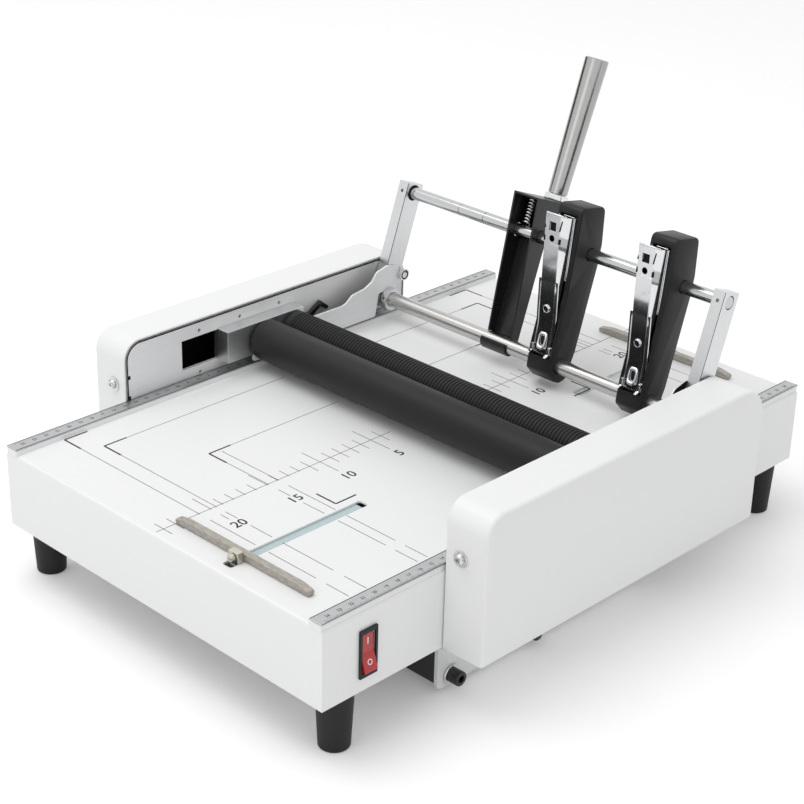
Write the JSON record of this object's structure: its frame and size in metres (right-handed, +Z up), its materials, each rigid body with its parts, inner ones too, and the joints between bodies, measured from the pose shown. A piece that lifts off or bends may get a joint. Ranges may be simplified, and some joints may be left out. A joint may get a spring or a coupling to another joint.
{
  "type": "electric booklet stapler and folder",
  "caption": "Table-top electric booklet maker: a swinging frame with two stapler heads over a ruled white table, folding rollers and adjustable paper stops.",
  "frame": {"origin": "on the bench, below the middle of the table", "axes": "+Z up, +Y in the feed direction away from the operator, +X along the rollers towards the side with the switch"},
  "size_m": [0.3958, 0.5, 0.3279],
  "materials": {
    "white_paint": "white powder coat, fine texture",
    "rubber_foot": "matt moulded rubber",
    "roller_rubber": "ground black rubber, the rear one ringed",
    "satin_steel": "satin, lightly brushed",
    "ruler_steel": "satin with black scale marks and plain numbers",
    "black_paint": "semi-gloss black",
    "dark_steel": "dark, as cast",
    "chrome": "bright plating",
    "aluminium": "brushed",
    "black_plastic": "moulded, semi-matt",
    "stop_steel": "sand-blasted, grey-brown",
    "zinc": "zinc plated",
    "red_plastic": "translucent red",
    "black_ink": "printed marks and plain numbers",
    "slot_strip": "pale blue-grey plastic strip in the slots"
  },
  "bodies": {
    "base": {"table_deck": "white_paint", "drive_box": "black_paint", "foot_front_left": "rubber_foot", "foot_front_right": "rubber_foot", "foot_rear_left": "rubber_foot", "foot_rear_right": "rubber_foot", "side_plate_left": "satin_steel", "side_plate_right": "satin_steel", "cover_left": "white_paint", "cover_right": "white_paint", "ruler_left": "ruler_steel", "ruler_right": "ruler_steel", "anvil_bar": "satin_steel", "gearbox": "dark_steel", "motor": "dark_steel", "skirt_bolt_left": "black_paint", "skirt_bolt_right": "black_paint", "switch_bezel": "black_plastic", "power_inlet": "black_plastic"},
    "roller_carriage": {"roller_bracket_left": "satin_steel", "roller_bracket_right": "satin_steel", "yoke_plate_left": "satin_steel", "yoke_plate_right": "satin_steel", "latch_hook": "black_paint"},
    "front_roller_set": {"front_roller": "roller_rubber", "front_roller_shaft": "satin_steel", "front_roller_gear": "satin_steel", "front_drive_gear": "satin_steel"},
    "rear_roller_set": {"rear_roller": "roller_rubber", "rear_roller_shaft": "satin_steel", "rear_roller_gear": "satin_steel"},
    "idler": {"idler_gear": "satin_steel"},
    "pinion": {"motor_pinion": "satin_steel"},
    "blade": {"folding_blade": "satin_steel", "blade_carrier": "dark_steel"},
    "stapling_frame": {"lower_shaft": "satin_steel", "upper_shaft": "chrome", "frame_arm_left": "aluminium", "frame_arm_right": "aluminium", "crank_bolt_left": "chrome", "crank_bolt_right": "chrome", "shaft_collar_left": "aluminium", "shaft_collar_right": "aluminium", "handle_channel": "black_paint", "handle_nut": "chrome", "handle_tube": "chrome", "handle_spring": "chrome"},
    "left_stapler": {"stapler_housing_left": "black_plastic", "stapler_lever_left": "chrome"},
    "right_stapler": {"stapler_housing_right": "black_plastic", "stapler_lever_right": "chrome"},
    "left_magazine": {"stapler_magazine_left": "chrome"},
    "right_magazine": {"stapler_magazine_right": "chrome"},
    "front_stop": {"stop_bar_front": "stop_steel", "clamp_block_front": "zinc"},
    "rear_stop": {"stop_bar_rear": "stop_steel", "clamp_block_rear": "zinc"},
    "front_clamp_screw": {"clamp_screw_front": "zinc"},
    "rear_clamp_screw": {"clamp_screw_rear": "zinc"},
    "rocker": {"switch_rocker": "red_plastic"}
  },
  "joints": [
    {"name": "frame_swing", "type": "hinge", "parent": "base", "child": "stapling_frame", "pos_m": [0, 0.117, 0.117], "axis": [1, 0, 0], "range_deg": [0, 95]},
    {"name": "carriage_slide", "type": "slide", "parent": "base", "child": "roller_carriage", "axis": [0, -1, 0], "range_m": [0, 0.03374]},
    {"name": "front_roller_spin", "type": "hinge", "parent": "roller_carriage", "child": "front_roller_set", "pos_m": [0, -0.01845, 0.121], "axis": [1, 0, 0], "continuous": true},
    {"name": "rear_roller_spin", "type": "hinge", "parent": "roller_carriage", "child": "rear_roller_set", "pos_m": [0, 0.01235, 0.121], "axis": [1, 0, 0], "continuous": true},
    {"name": "idler_spin", "type": "hinge", "parent": "base", "child": "idler", "pos_m": [0, 0.03166, 0.10757], "axis": [1, 0, 0], "continuous": true},
    {"name": "motor_spin", "type": "hinge", "parent": "base", "child": "pinion", "pos_m": [0, 0.0277, 0.06236], "axis": [1, 0, 0], "continuous": true},
    {"name": "blade_lift", "type": "slide", "parent": "base", "child": "blade", "axis": [0, 0, -1], "range_m": [-0.013, 0]},
    {"name": "left_stapler_slide", "type": "slide", "parent": "stapling_frame", "child": "left_stapler", "axis": [1, 0, 0], "range_m": [-0.022, 0.03]},
    {"name": "right_stapler_slide", "type": "slide", "parent": "stapling_frame", "child": "right_stapler", "axis": [1, 0, 0], "range_m": [-0.031, 0.016]},
    {"name": "left_magazine_press", "type": "hinge", "parent": "left_stapler", "child": "left_magazine", "pos_m": [0.0228, 0.10952, 0.12964], "axis": [-1, 0, 0], "range_deg": [0, 4.5], "stiffness_Nm_per_rad": 1.5, "springref_deg": -5.73},
    {"name": "right_magazine_press", "type": "hinge", "parent": "right_stapler", "child": "right_magazine", "pos_m": [0.1095, 0.10952, 0.12964], "axis": [-1, 0, 0], "range_deg": [0, 4.5], "stiffness_Nm_per_rad": 1.5, "springref_deg": -5.73},
    {"name": "front_stop_slide", "type": "slide", "parent": "base", "child": "front_stop", "axis": [0, 1, 0], "range_m": [0, 0.1]},
    {"name": "rear_stop_slide", "type": "slide", "parent": "base", "child": "rear_stop", "axis": [0, -1, 0], "range_m": [0, 0.08]},
    {"name": "front_clamp_turn", "type": "hinge", "parent": "front_stop", "child": "front_clamp_screw", "pos_m": [0.0637, -0.23535, 0.10305], "axis": [0, -1, 0], "range_deg": [0, 360]},
    {"name": "rear_clamp_turn", "type": "hinge", "parent": "rear_stop", "child": "rear_clamp_screw", "pos_m": [0.0503, 0.23535, 0.10305], "axis": [0, 1, 0], "range_deg": [0, 360]},
    {"name": "switch_rock", "type": "hinge", "parent": "base", "child": "rocker", "pos_m": [0.162, -0.2118, 0.0687], "axis": [0, 1, 0], "range_deg": [0, 18]}
  ],
  "couplings": [
    {"joint": "carriage_slide", "follows": "frame_swing", "m_per_rad": 0.02035},
    {"joint": "rear_roller_spin", "follows": "front_roller_spin", "ratio": -1.1111},
    {"joint": "idler_spin", "follows": "front_roller_spin", "ratio": -0.45455},
    {"joint": "motor_spin", "follows": "front_roller_spin", "ratio": 1.6667}
  ]
}
